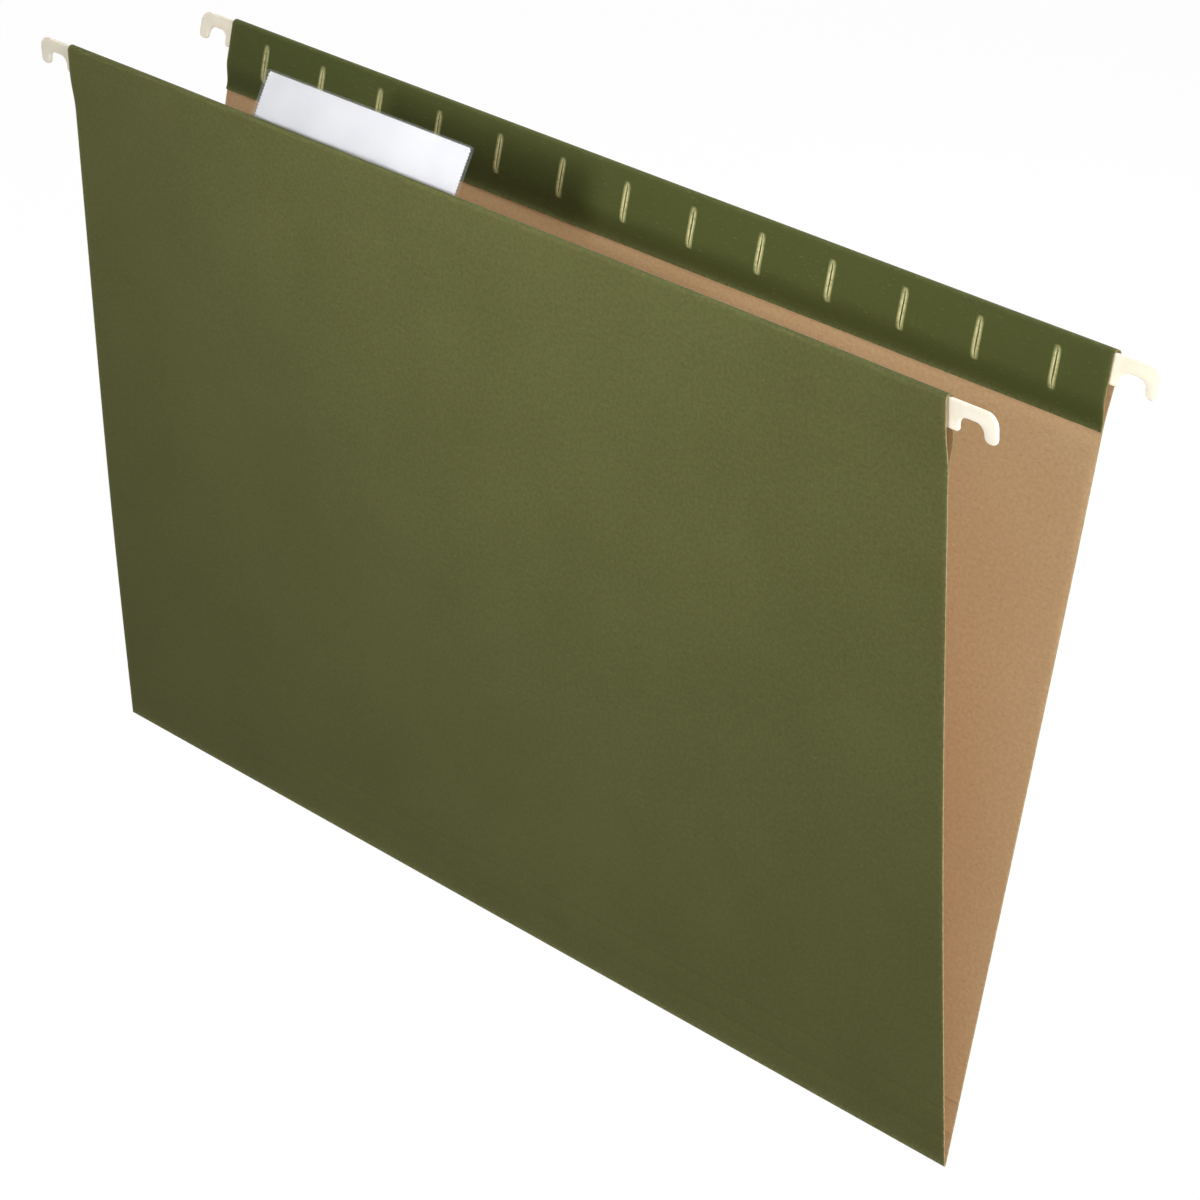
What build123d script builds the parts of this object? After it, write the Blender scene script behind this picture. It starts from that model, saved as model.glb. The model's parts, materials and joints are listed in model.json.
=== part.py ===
from build123d import *
import math
import os

# Hanging file folder, legal size, standing open as a V.
# X runs along the bottom fold, the front half leans to -Y and the back half to +Y, and Z is up.
# Lengths are in millimetres and angles in degrees.

# Card sheet: green on the outside, kraft on the inside
panel_width = 375.0
panel_height = 238.0
green_ply = 0.15
kraft_ply = 0.15
opening_angle = 16.0
# the inner faces stand this far off the fold line, so that the halves can close on each other
fold_play = 0.05
fold_clearance = 0.05

# Hem: the top of each half is folded inwards over the rod and glued down
hem_depth = 23.0
tunnel_gap = 1.6
tunnel_depth = 17.0
hem_slope = 2.5
glue_thickness = 0.1
glue_end_margin = 4.0

# Slits for the tab, in the inner layer of each hem
slit_count = 13
slit_pitch_share = 0.075
slit_length = 11.0
slit_width = 1.2
slit_drop = 5.0

# Flat steel rod and the plastic coat on its hooks
rod_height = 8.2
rod_thickness = 0.5
rod_drop = 1.15
rod_seat = 0.7
coat = 0.3
coat_overlap = 6.0

# Hook, measured over its coat from the edge of the card
hook_reach = 16.5
hook_leg = 3.2
notch_width = 8.8
notch_depth = 4.7
notch_corner = 2.8
hook_corner = 4.0
lobe_corner = 1.9
leg_corner = 1.0

# Label tab of clear plastic: its ears go into the slits on either side of its middle one
tab_slit_steps = 2
tab_foot_steps = 1
plastic = 0.3
foot_clearance = 0.1
ear_clearance = 0.175
ear_length = 7.0
jog_width = 0.6
slit_end_clearance = 1.0
tab_lean = 30.0
pocket_width = 93.0
pocket_height = 19.5
pocket_gap = 0.8
pocket_lip_rise = 1.2
crease_clearance = 0.1
lip_clearance = 0.1
label_width = 91.0
label_thickness = 0.25
label_clearance = 0.3

# Cuts start and end this far outside what they cut
cut_overrun = 0.5

# Sizes that follow from the ones above
board = green_ply + kraft_ply
half_angle = opening_angle / 2
lean_sin = math.sin(math.radians(half_angle))
lean_cos = math.cos(math.radians(half_angle))
fold_radius = board + fold_play
fold_point = Vector(0, 0, fold_radius)

# Positions across a half count inwards from the fold line, and heights count up the card
inner_face = -fold_play
ply_line = inner_face - kraft_ply
top_radius = tunnel_gap / 2 + kraft_ply
top_centre = panel_height - green_ply - top_radius
flap_line = ply_line + 2 * top_radius
flap_back = inner_face + tunnel_gap
flap_face = flap_back + board
glued_line = ply_line + 2 * kraft_ply + glue_thickness
slope_top = panel_height - tunnel_depth
slope_bottom = slope_top - hem_slope
flap_bottom = panel_height - hem_depth
sheet_start = fold_radius + fold_clearance

slit_pitch = panel_width * slit_pitch_share
slit_middle = panel_height - slit_drop - slit_length / 2

rod_plane = inner_face + rod_seat
rod_top = panel_height - rod_drop
rod_bottom = rod_top - rod_height
edge = panel_width / 2

# The middle of the tab is two slits left of the folder's middle
tab_centre = -tab_slit_steps * slit_pitch
ear_slit = tab_foot_steps * slit_pitch
foot_face = flap_face + foot_clearance
ear_face = flap_back - ear_clearance - plastic
foot_top = panel_height - slit_drop - slit_end_clearance
foot_height = slit_length - 2 * slit_end_clearance
crease_height = foot_top - plastic / 2
crease_line = foot_face + plastic / 2
pocket_inner = plastic / 2
pocket_arc = pocket_height - plastic - pocket_gap / 2


def profile_plane(side):
    """Plane across the middle of one half: its x points inwards and its y runs up the card."""
    inwards = (0, side * lean_cos, lean_sin)
    return Plane(origin=fold_point, x_dir=inwards, z_dir=(side, 0, 0))


def face_plane(side, depth):
    """Plane along one half, at a depth inwards from the fold line, facing outwards."""
    outwards = (0, -side * lean_cos, -lean_sin)
    return Plane(origin=fold_point, x_dir=(side, 0, 0), z_dir=outwards).offset(-depth)


def plan_plane(height):
    """Plane through the front half at a height up the card: its y points inwards."""
    upwards = Vector(0, -lean_sin, lean_cos)
    return Plane(origin=fold_point + upwards * height, x_dir=(1, 0, 0), z_dir=upwards)


def card_ply(side, ply_side, thickness, label):
    """One ply of one half: panel, rounded top edge and hem flap with its slits."""
    with BuildPart() as ply:
        with BuildSketch(profile_plane(side).offset(-panel_width / 2)):
            with BuildLine():
                Line((ply_line, sheet_start), (ply_line, top_centre))
                TangentArc((ply_line, top_centre), (flap_line, top_centre), tangent=(0, 1))
                Polyline(
                    (flap_line, top_centre),
                    (flap_line, slope_top),
                    (glued_line, slope_bottom),
                    (glued_line, flap_bottom),
                )
                offset(amount=thickness, side=ply_side, kind=Kind.INTERSECTION)
            make_face()
        extrude(amount=panel_width)
        with BuildSketch(face_plane(side, flap_face + cut_overrun)):
            with Locations((0, slit_middle)):
                with GridLocations(slit_pitch, slit_pitch, slit_count, 1):
                    SlotOverall(slit_length, slit_width, rotation=90)
        extrude(amount=board + 2 * cut_overrun, mode=Mode.SUBTRACT)
    ply.part.label = label
    return ply.part


def hem_glue(side, label):
    """Flat line of glue between the panel and the lower margin of its hem flap."""
    with BuildPart() as glue:
        with BuildSketch(face_plane(side, inner_face)):
            with Locations((0, (flap_bottom + slope_bottom) / 2)):
                Rectangle(panel_width - 2 * glue_end_margin, slope_bottom - flap_bottom)
        extrude(amount=-glue_thickness)
    glue.part.label = label
    return glue.part


def hook_points(hand, skin):
    """Outline of one hook, from the low edge beside the card round to the top edge.

    skin is how far the outline lies inside the coated surface.
    """
    notch_in = edge + hook_leg - skin
    notch_out = edge + hook_leg + notch_width + skin
    end = edge + hook_reach - skin
    low = rod_bottom - coat + skin
    high = rod_top + coat - skin
    seat = rod_bottom - coat + notch_depth + skin
    return [
        ((hand * notch_in, low), leg_corner - skin),
        ((hand * notch_in, seat), notch_corner + skin),
        ((hand * notch_out, seat), notch_corner + skin),
        ((hand * notch_out, low), lobe_corner - skin),
        ((hand * end, low), lobe_corner - skin),
        ((hand * end, high), hook_corner - skin),
    ]


def steel_rod(side, label):
    """Flat rod with a hook at each end."""
    outline = hook_points(1, coat) + hook_points(-1, coat)[::-1]
    with BuildPart() as rod:
        with BuildSketch(face_plane(side, rod_plane + rod_thickness / 2)):
            with BuildLine():
                FilletPolyline(
                    *[point for point, radius in outline],
                    radius=[radius for point, radius in outline],
                    close=True,
                )
            make_face()
        extrude(amount=rod_thickness)
    rod.part.label = label
    return rod.part


def hook_tip(side, hand, rod, label):
    """Plastic coat around one hook, reaching a little way into the hem."""
    inner = hand * (edge - coat_overlap)
    low = rod_bottom - coat
    high = rod_top + coat
    outline = [((inner, low), 0)] + hook_points(hand, 0) + [((inner, high), 0)]
    with BuildPart() as tip:
        with BuildSketch(face_plane(side, rod_plane + rod_thickness / 2 + coat)):
            with BuildLine():
                FilletPolyline(
                    *[point for point, radius in outline],
                    radius=[radius for point, radius in outline],
                    close=True,
                )
            make_face()
        extrude(amount=rod_thickness + 2 * coat)
        add(rod, mode=Mode.SUBTRACT)
    tip.part.label = label
    return tip.part


os.makedirs("parts", exist_ok=True)

# The two halves of the sheet and what is fixed in each, front then back
for half, side in (("front", 1), ("back", -1)):
    cover = card_ply(side, Side.LEFT, green_ply, half + "_cover")
    export_step(cover, "parts/" + half + "_cover.step")
    liner = card_ply(side, Side.RIGHT, kraft_ply, half + "_liner")
    export_step(liner, "parts/" + half + "_liner.step")
    glue = hem_glue(side, half + "_hem_glue")
    export_step(glue, "parts/" + half + "_hem_glue.step")
    rod = steel_rod(side, half + "_rod")
    export_step(rod, "parts/" + half + "_rod.step")
    for name, hand in (("_left_tip", -side), ("_right_tip", side)):
        tip = hook_tip(side, hand, rod, half + name)
        export_step(tip, "parts/" + half + name + ".step")

# The bent card in the bottom fold
with BuildPart() as bottom_fold:
    with Locations(fold_point):
        Cylinder(fold_radius, panel_width, rotation=(0, 90, 0))
bottom_fold.part.label = "bottom_fold"
export_step(bottom_fold.part, "parts/bottom_fold.step")

# The tab's foot strip lies on the hem of the front half, and its ears pass through two slits
left_slit = tab_centre - ear_slit
right_slit = tab_centre + ear_slit
crease_point = profile_plane(1).from_local_coords((crease_line, crease_height, tab_centre))
with BuildPart() as tab_foot:
    with BuildSketch(plan_plane(foot_top - foot_height)):
        with BuildLine():
            Polyline(
                (left_slit - ear_length, ear_face),
                (left_slit - jog_width / 2, ear_face),
                (left_slit + jog_width / 2, foot_face),
                (right_slit - jog_width / 2, foot_face),
                (right_slit + jog_width / 2, ear_face),
                (right_slit + ear_length, ear_face),
            )
            offset(amount=plastic, side=Side.LEFT, kind=Kind.INTERSECTION)
        make_face()
    extrude(amount=foot_height - plastic / 2)
    # the rounded upper edge is the crease that the pocket leans on
    with Locations(crease_point):
        Cylinder(plastic / 2, 2 * (ear_slit - jog_width), rotation=(0, 90, 0))
tab_foot.part.label = "tab_foot"
export_step(tab_foot.part, "parts/tab_foot.step")

# The pocket leans back from the crease: its x points backwards and its y runs up the pocket
pocket_angle = math.radians(half_angle - tab_lean)
pocket_plane = Plane(
    origin=crease_point,
    x_dir=(0, math.cos(pocket_angle), math.sin(pocket_angle)),
    z_dir=(1, 0, 0),
)
with BuildPart() as tab_pocket:
    with BuildSketch(pocket_plane.offset(-pocket_width / 2)):
        with BuildLine():
            Line((pocket_inner, plastic / 2 + crease_clearance), (pocket_inner, pocket_arc))
            TangentArc(
                (pocket_inner, pocket_arc),
                (pocket_inner + pocket_gap, pocket_arc),
                tangent=(0, 1),
            )
            Line(
                (pocket_inner + pocket_gap, pocket_arc),
                (pocket_inner + pocket_gap, pocket_lip_rise - plastic),
            )
            offset(amount=plastic, side=Side.LEFT, kind=Kind.INTERSECTION)
        make_face()
        # the lip along the foot of the rear wall, which the label stands on
        with Locations((pocket_inner + pocket_gap, pocket_lip_rise)):
            Rectangle(pocket_gap - lip_clearance, plastic, align=(Align.MAX, Align.MAX))
    extrude(amount=pocket_width)
tab_pocket.part.label = "tab_pocket"
export_step(tab_pocket.part, "parts/tab_pocket.step")

# The paper label stands on the pocket's lip, halfway between its walls
label_bottom = pocket_lip_rise + label_clearance
with BuildPart() as tab_insert:
    with BuildSketch(pocket_plane.offset(-label_width / 2)):
        with Locations((pocket_inner + pocket_gap / 2, (label_bottom + pocket_arc) / 2)):
            Rectangle(label_thickness, pocket_arc - label_bottom)
    extrude(amount=label_width)
tab_insert.part.label = "tab_insert"
export_step(tab_insert.part, "parts/tab_insert.step")
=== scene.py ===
# %% [markdown]
# # A hanging file folder
# The folder is one sheet of card, green outside and kraft inside. It is folded once at the bottom, and
# over a flat steel rod along each top edge. The hooks of the rods are dipped in cream plastic, and a
# clear tab with a paper label stands in the slits of the front hem. The CAD model holds the joints and
# the place of every solid, so this lesson loads it first, fits each piece to it and only adds looks.

# %% Load the frame
import json
import math

import bmesh
import bpy
import numpy as np
from mathutils import Matrix, Vector


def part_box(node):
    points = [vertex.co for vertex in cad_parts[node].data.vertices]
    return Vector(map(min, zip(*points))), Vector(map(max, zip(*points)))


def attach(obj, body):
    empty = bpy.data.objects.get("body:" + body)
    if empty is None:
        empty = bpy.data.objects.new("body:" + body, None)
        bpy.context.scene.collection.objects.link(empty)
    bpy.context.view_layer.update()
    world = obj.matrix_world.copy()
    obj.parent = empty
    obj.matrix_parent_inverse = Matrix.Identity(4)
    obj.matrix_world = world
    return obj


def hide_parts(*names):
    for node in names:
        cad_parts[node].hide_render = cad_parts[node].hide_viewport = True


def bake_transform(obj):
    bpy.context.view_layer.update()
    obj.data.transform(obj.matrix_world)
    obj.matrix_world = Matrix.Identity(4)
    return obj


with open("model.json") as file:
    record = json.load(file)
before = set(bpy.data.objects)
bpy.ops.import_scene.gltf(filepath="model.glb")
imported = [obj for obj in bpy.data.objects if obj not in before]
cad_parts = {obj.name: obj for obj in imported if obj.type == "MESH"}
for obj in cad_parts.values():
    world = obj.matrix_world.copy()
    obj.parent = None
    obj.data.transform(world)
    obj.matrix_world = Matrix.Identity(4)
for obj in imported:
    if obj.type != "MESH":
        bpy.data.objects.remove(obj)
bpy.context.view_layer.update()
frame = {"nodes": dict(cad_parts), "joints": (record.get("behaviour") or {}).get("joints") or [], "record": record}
joints = {joint["name"]: joint for joint in frame["joints"]}

# %% [markdown]
# ## Colours and sums
# Pictures give colours as sRGB numbers from 0 to 255, while shaders want linear light, so one helper
# turns one into the other. A finish could be wired by hand in the node editor, but a script can be read
# and run again. The helpers below add a node, fill its inputs with links or plain values, and hand back
# an output, so a finish reads like a sum.

# %% Colours and sums
MM = 0.001


def paint(red, green, blue):
    """An sRGB colour, as linear RGBA."""
    shares = [value / 255 for value in (red, green, blue)]
    linear = [c / 12.92 if c <= 0.04045 else ((c + 0.055) / 1.055) ** 2.4 for c in shares]
    return (*linear, 1.0)


def fill(tree, node, inputs):
    """Link the inputs of a node to output sockets, or set them to plain values."""
    for name, value in inputs.items():
        if isinstance(value, bpy.types.NodeSocket):
            tree.links.new(value, node.inputs[name])
        else:
            node.inputs[name].default_value = value


def add_node(tree, kind, inputs, **settings):
    """A node with its settings made and its inputs filled, which are named or numbered."""
    node = tree.nodes.new(kind)
    for name, value in settings.items():
        setattr(node, name, value)
    fill(tree, node, inputs)
    return node


def calc(tree, operation, *values):
    """One step of arithmetic on sockets and numbers."""
    return add_node(tree, "ShaderNodeMath", dict(enumerate(values)), operation=operation).outputs[0]


def weighed(tree, first, second, share):
    """A sum of two values, with the first one's share of it."""
    rest = calc(tree, "MULTIPLY", second, 1 - share)
    return calc(tree, "ADD", calc(tree, "MULTIPLY", first, share), rest)


def rescale(tree, value, low, high, to=(0.0, 1.0)):
    """Stretch the values from low to high onto another range, smoothly and with the ends held."""
    inputs = dict(enumerate((value, low, high, *to)))
    return add_node(tree, "ShaderNodeMapRange", inputs, interpolation_type="SMOOTHSTEP").outputs[0]


def mix_colour(tree, factor, first, second):
    """A blend of two colours, which a Mix node keeps on inputs 6 and 7 and on output 2."""
    inputs = {0: factor, 6: first, 7: second}
    return add_node(tree, "ShaderNodeMix", inputs, data_type="RGBA").outputs[2]


print("sRGB 128 is linear", round(paint(128, 128, 128)[0], 3))

# %% [markdown]
# ## Patterns and places
# A pattern needs coordinates that stay on the piece. On a stiff piece the object's own axes will do. The
# card bends, so it carries a flat map of itself, and marks on its points that say where it is worn.
# Noise on these coordinates stays sharp from near and far, where a picture would blur and repeat.

# %% Patterns and places
card_map_name = "card"


def object_place(tree):
    """Place on a stiff piece: its own axes, in metres."""
    return add_node(tree, "ShaderNodeTexCoord", {}).outputs["Object"]


def card_place(tree):
    """Place on the flat sheet: U along the fold and V across it, both in metres."""
    return add_node(tree, "ShaderNodeUVMap", {}, uv_map=card_map_name).outputs[0]


def card_mark(tree, name):
    """A mark that the sheet carries on its points, from 0 to 1."""
    return add_node(tree, "ShaderNodeAttribute", {}, attribute_name=name).outputs["Fac"]


def turned(tree, place, degrees, stretch):
    """The same place, turned about Z and stretched, for patterns that run one way."""
    inputs = {"Vector": place, "Rotation": (0, 0, math.radians(degrees)), "Scale": stretch}
    return add_node(tree, "ShaderNodeMapping", inputs).outputs[0]


def noise(tree, place, scale, detail, roughness):
    """Cloudy noise from 0 to 1, with scale in lumps per metre."""
    inputs = {"Vector": place, "Scale": scale, "Detail": detail, "Roughness": roughness}
    return add_node(tree, "ShaderNodeTexNoise", inputs).outputs[0]


def bump(tree, height, strength, distance):
    """Fine relief: the normal of a surface that rises by so many metres where height is 1."""
    inputs = {"Height": height, "Strength": strength, "Distance": distance}
    return add_node(tree, "ShaderNodeBump", inputs).outputs[0]


def new_finish(name):
    """A new material with one Principled shader: gives the material, its tree and the shader."""
    material = bpy.data.materials.new(name)
    material.use_nodes = True
    tree = material.node_tree
    return material, tree, tree.nodes["Principled BSDF"]


print("stiff pieces use Object coordinates, and the card uses the map called", card_map_name)

# %% [markdown]
# ## Finish of the card
# The stock is recycled board dyed on one face. Dye soaks in unevenly, so the green is cloudy at the
# scale of a thumb, grainy at the scale of a pinhead, and crossed by short fibres that took more or less
# dye. A scanned picture of card would fix its light and its size, so layers of noise make it here. Where
# the card is folded, rubbed or cut, the dye breaks and the pale core shows. Four marks on the mesh set
# the colour by place: flap for the inner side of a hem, which is painted a darker green, crease for the
# folds and the pressed lines, which are painted darker, most on the kraft, wear for rubbed edges, and
# fray for the lips of the slits.

# %% Finish of the card
cloud_scale, grain_scale, fibre_scale = 24, 820, 330
fibre_stretch = (1.0, 9.0, 1.0)
dark_fibre_angle, pale_fibre_angle = 28, -41
dark_fibre_share, pale_fibre_share = 0.6, 0.55
cloud_share, flap_share, fibre_relief_share = 0.25, 0.75, 0.5


def card_fibres(tree, place, angle, low, high):
    """Short straight fibres that lie one way, wherever the noise is above low."""
    strands = noise(tree, turned(tree, place, angle, fibre_stretch), fibre_scale, detail=2.0, roughness=0.5)
    return rescale(tree, strands, low, high)


def card_finish(name, dark, light, deep, fleck, fibre, core, worn, creased):
    """Board of two tones, deeper on flaps and creases, with fibres and a core that shows where worn."""
    material, tree, shader = new_finish(name)
    place = card_place(tree)
    cloud = noise(tree, place, cloud_scale, detail=4.0, roughness=0.6)
    grain = noise(tree, place, grain_scale, detail=3.0, roughness=0.6)
    tone = rescale(tree, weighed(tree, cloud, grain, cloud_share), 0.3, 0.7)
    colour = mix_colour(tree, tone, dark, light)

    # Flaps, folds and pressed lines are painted a darker tone than the rest of the card
    pressed = calc(tree, "MULTIPLY", card_mark(tree, "crease"), creased)
    on_flap = calc(tree, "MULTIPLY", card_mark(tree, "flap"), flap_share)
    colour = mix_colour(tree, calc(tree, "MAXIMUM", on_flap, pressed), colour, deep)

    dark_fibres = card_fibres(tree, place, dark_fibre_angle, 0.62, 0.74)
    colour = mix_colour(tree, calc(tree, "MULTIPLY", dark_fibres, dark_fibre_share), colour, fleck)
    pale_fibres = card_fibres(tree, place, pale_fibre_angle, 0.63, 0.76)
    colour = mix_colour(tree, calc(tree, "MULTIPLY", pale_fibres, pale_fibre_share), colour, fibre)

    patchy = rescale(tree, grain, 0.35, 0.6, to=(0.35, 1.0))
    rubbed = calc(tree, "MULTIPLY", card_mark(tree, "wear"), patchy)
    colour = mix_colour(tree, calc(tree, "MULTIPLY", rubbed, worn), colour, core)
    ragged = rescale(tree, grain, 0.3, 0.55, to=(0.55, 1.0))
    frayed = calc(tree, "MULTIPLY", card_mark(tree, "fray"), ragged)
    colour = mix_colour(tree, frayed, colour, core)

    fibres = calc(tree, "ADD", dark_fibres, pale_fibres)
    relief = calc(tree, "ADD", grain, calc(tree, "MULTIPLY", fibres, fibre_relief_share))
    fill(tree, shader, {
        "Base Color": colour,
        "Roughness": rescale(tree, grain, 0.3, 0.7, to=(0.62, 0.86)),
        "Specular IOR Level": 0.15,
        "Normal": bump(tree, relief, strength=0.35, distance=0.06 * MM),
    })
    return material


print("a lump of grain is", round(1 / grain_scale, 4), "m wide and a cloud", round(1 / cloud_scale, 3))

# %% Green, kraft and the cut edge
green_card = card_finish(
    "green card",
    dark=paint(80, 82, 43),
    light=paint(95, 97, 55),
    deep=paint(58, 66, 27),
    fleck=paint(60, 63, 30),
    fibre=paint(116, 118, 76),
    core=paint(222, 220, 160),
    worn=0.3,
    creased=0.1,
)
kraft_card = card_finish(
    "kraft card",
    dark=paint(204, 169, 127),
    light=paint(216, 184, 142),
    deep=paint(176, 140, 100),
    fleck=paint(170, 130, 90),
    fibre=paint(233, 206, 166),
    core=paint(228, 200, 158),
    worn=0.1,
    creased=0.5,
)
cut_card = card_finish(
    "cut edge of the card",
    dark=paint(118, 108, 68),
    light=paint(158, 140, 98),
    deep=paint(108, 102, 62),
    fleck=paint(96, 88, 54),
    fibre=paint(184, 168, 128),
    core=paint(216, 206, 160),
    worn=0.1,
    creased=0.0,
)
print("card finishes:", green_card.name, "|", kraft_card.name, "|", cut_card.name)

# %% [markdown]
# ## The sheet, seen from its end
# Seen from its end the sheet is one line: up the front flap, over the front rod, down the front panel,
# round the bottom fold, and the same again at the back. Two flat halves would be quicker to make, but
# they would leave a seam at the fold. So a grid of points follows the whole line, and the card stays one
# piece, as on the real folder. Places are counted on a half that stands upright, and then leaned.

# %% Sizes of the sheet, in metres
cover_low, cover_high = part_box("front_cover")
panel_width = cover_high.x - cover_low.x
panel_height = 238 * MM
board = 0.3 * MM
fold_play = 0.05 * MM
fold_point = Vector(joints["front_fold"]["pos_m"])

# The front half can swing until the sheet lies flat, so its limit tells how far it is open at rest
flat_degrees = joints["front_fold"]["range_deg"][1]
half_angle = math.radians(180 - flat_degrees) / 2

hem_depth = 23 * MM
flap_bottom = panel_height - hem_depth
tunnel_gap = 1.6 * MM
tunnel_foot = panel_height - 13.2 * MM
glue_thickness = 0.1 * MM
glued_top = panel_height - 21.5 * MM

# The middle of the card's thickness, counted inwards from the fold line
panel_line = -fold_play - board / 2
flap_line = -fold_play + tunnel_gap + board / 2
glued_line = -fold_play + glue_thickness + board / 2
print("panel", round(panel_width, 4), "by", panel_height, "open by", 180 - flat_degrees, "degrees")

# %% Places on one half


def on_half(side, across, inward, up):
    """Points of one half, in the frame: side is 1 for the front and -1 for the back."""
    y = side * (inward * math.cos(half_angle) - up * math.sin(half_angle))
    z = fold_point.z + up * math.cos(half_angle) + inward * math.sin(half_angle)
    return np.stack(np.broadcast_arrays(across, y, z), axis=-1)


def ease(value, low, high):
    """0 below low and 1 above high, with a smooth step between them."""
    share = np.clip((value - low) / (high - low), 0, 1)
    return share * share * (3 - 2 * share)


print("the front right corner is at", on_half(1, panel_width / 2, 0, panel_height).round(4))

# %% [markdown]
# ## Bow and swell
# A real sheet is never flat. The panels bow out a little, the hem swells where the rod and its coated
# ends push the card apart, and the edge of the flap curls. A cloth simulation could bend the sheet, but
# this card is stiff and its bends are few, so each one is a short formula that can be set by hand.

# %% How the card bows and swells
bow_height, bow_loss_at_sides = 1.3 * MM, 0.4
ripple_height, ripple_length = 0.4 * MM, 210 * MM
ripple_slant, ripple_shift = 0.4, 0.17
swell_middle, swell_end, swell_reach = 0.35 * MM, 0.55 * MM, 45 * MM
swell_top = panel_height - 9 * MM
curl_height, curl_reach = 0.25 * MM, 1.2 * MM
ruffle_length, ruffle_share, ruffle_shift = 83 * MM, 0.45, 0.3


def card_bow(side, across, up):
    """How far a panel stands out from flat: one slow bow and a shallow ripple."""
    rise = np.sin(np.pi * np.clip(up / flap_bottom, 0, 1))
    bow = bow_height * (1 - bow_loss_at_sides * (2 * across / panel_width) ** 2)
    phase = across / ripple_length + ripple_slant * up / panel_height + ripple_shift * side
    return rise * (bow + ripple_height * np.sin(2 * np.pi * phase))


def hem_swell(across, up):
    """How far the rod pushes the panel outwards, most at the open ends of the hem."""
    mouth = ease(np.abs(across), panel_width / 2 - swell_reach, panel_width / 2)
    return (swell_middle + swell_end * mouth) * ease(up, glued_top, swell_top)


def flap_lift(side, across, up):
    """How far the flap lies in from the fold line: loose over the rod, glued lower down."""
    line = glued_line + (flap_line - glued_line) * ease(up, glued_top, tunnel_foot)
    wave = np.sin(2 * np.pi * (across / ruffle_length + ruffle_shift * side))
    ruffle = 1 - ruffle_share + ruffle_share * wave
    return line + curl_height * ruffle * ease(flap_bottom + curl_reach - up, 0, curl_reach)


print("the panels bow by", bow_height, "m, and the ends of a hem swell by", swell_middle + swell_end)

# %% [markdown]
# ## A grid for the card
# The sheet could start as an even plane, but it would need a very fine one to show the slits and the
# bends. This grid has a column on each side of every slit, and its rows lie closer together wherever the
# card bends. Each row also carries the marks that the finish reads.

# %% Columns, from left to right
slit_count = 13
slit_pitch_share = 0.075
slit_pitch = slit_pitch_share * panel_width
slit_width = 1.2 * MM
slit_places = slit_pitch * (np.arange(slit_count) - (slit_count - 1) / 2)

# Even columns, apart from those that would lie close to a slit, and finer ones by the slits and edges
even_count, slit_margin = 61, 2.4 * MM
even = np.linspace(-panel_width / 2, panel_width / 2, even_count)
even = even[np.abs(even[:, None] - slit_places).min(axis=1) > slit_margin]
steps_by_slit = np.array([-1.6, -0.9, 0.9, 1.6]) * MM
steps_by_edge = np.array([0.3, 0.8, 1.8, 3.5]) * MM
beside = (slit_places[:, None] + steps_by_slit).ravel()
slit_sides = (slit_places[:, None] + np.array([-0.5, 0.5]) * slit_width).ravel()
by_the_edge = panel_width / 2 - steps_by_edge
columns = np.sort(np.concatenate([even, beside, slit_sides, by_the_edge, -by_the_edge]))

# The side of a slit that a column bounds: -1 for its left, 1 for its right and 0 elsewhere
column_side = np.zeros(len(columns))
column_side[np.searchsorted(columns, slit_sides[0::2])] = -1
column_side[np.searchsorted(columns, slit_sides[1::2])] = 1

# A slit is nearly shut, apart from the two in the front flap that the ears of the tab hold open
shut_share = 0.55
tab_centre = joints["tab_tilt"]["pos_m"][0]
tab_slits = tab_centre + slit_pitch * np.array([-1, 1])
by_the_tab = np.abs(columns[:, None] - tab_slits).min(axis=1) < slit_pitch / 2
slit_open = {1: np.where(by_the_tab, 1.0, shut_share), -1: np.full(len(columns), shut_share)}
print(len(columns), "columns, and the tab stands in the slits at", tab_slits.round(4))

# %% Rows, from the bottom fold to the edge of a flap
slit_length = 11 * MM
slit_middle = panel_height - 10.5 * MM

# Lines pressed beside the bottom fold, so that the bottom can be creased wider
score_places = (9.5 * MM, 19 * MM)
score_width = 1.0 * MM
score_depth = 0.09 * MM
score_steps = np.linspace(-0.5, 0.5, 5) * score_width

# Fine rows by the bottom fold and the bend, and even rows between them
steps_by_fold = np.array([0, 0.4, 1.2, 2.5, 5]) * MM
steps_by_bend = np.array([3, 4]) * MM
even_start = 14 * MM
panel_top = panel_height - 3.5 * MM
panel_rows = np.unique(np.concatenate([
    steps_by_fold,
    *(place + score_steps for place in score_places),
    np.linspace(even_start, flap_bottom, 32),
    np.linspace(flap_bottom, panel_top, 13),
]))
slit_rows = slit_middle + slit_length * np.linspace(0.5, -0.5, 13)
flap_rows = np.concatenate([
    panel_height - steps_by_bend,
    slit_rows,
    np.linspace(slit_rows[-1], glued_top, 12)[1:],
    np.linspace(glued_top, flap_bottom, 7)[1:],
])
print(len(panel_rows), "rows on a panel and", len(flap_rows), "on a flap")

# %% Rows of one half
top_rub, fold_rub, edge_rub = 0.12, 0.6, 0.5
fold_reach, edge_reach = 1.0 * MM, 0.9 * MM
bend_steps = 12


def row_of(side, inward, up, flap=0, wear=0, crease=0):
    """One row of points on a half, with its marks."""
    points = on_half(side, columns, inward, up)
    return dict(points=points, up=up, flap=flap, wear=wear, crease=crease, slit_open=slit_open[side])


def panel_part(side):
    """The panel, from the bottom fold up to the bend over the rod."""
    rows = []
    for up in panel_rows:
        pressed = max(max(0, 1 - abs(up - place) / (score_width / 2)) for place in score_places)
        inward = panel_line - card_bow(side, columns, up) - hem_swell(columns, up) + score_depth * pressed
        near_fold = math.exp(-up / fold_reach)
        rows.append(row_of(side, inward, up, wear=fold_rub * near_fold, crease=max(pressed, near_fold)))
    return rows


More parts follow.
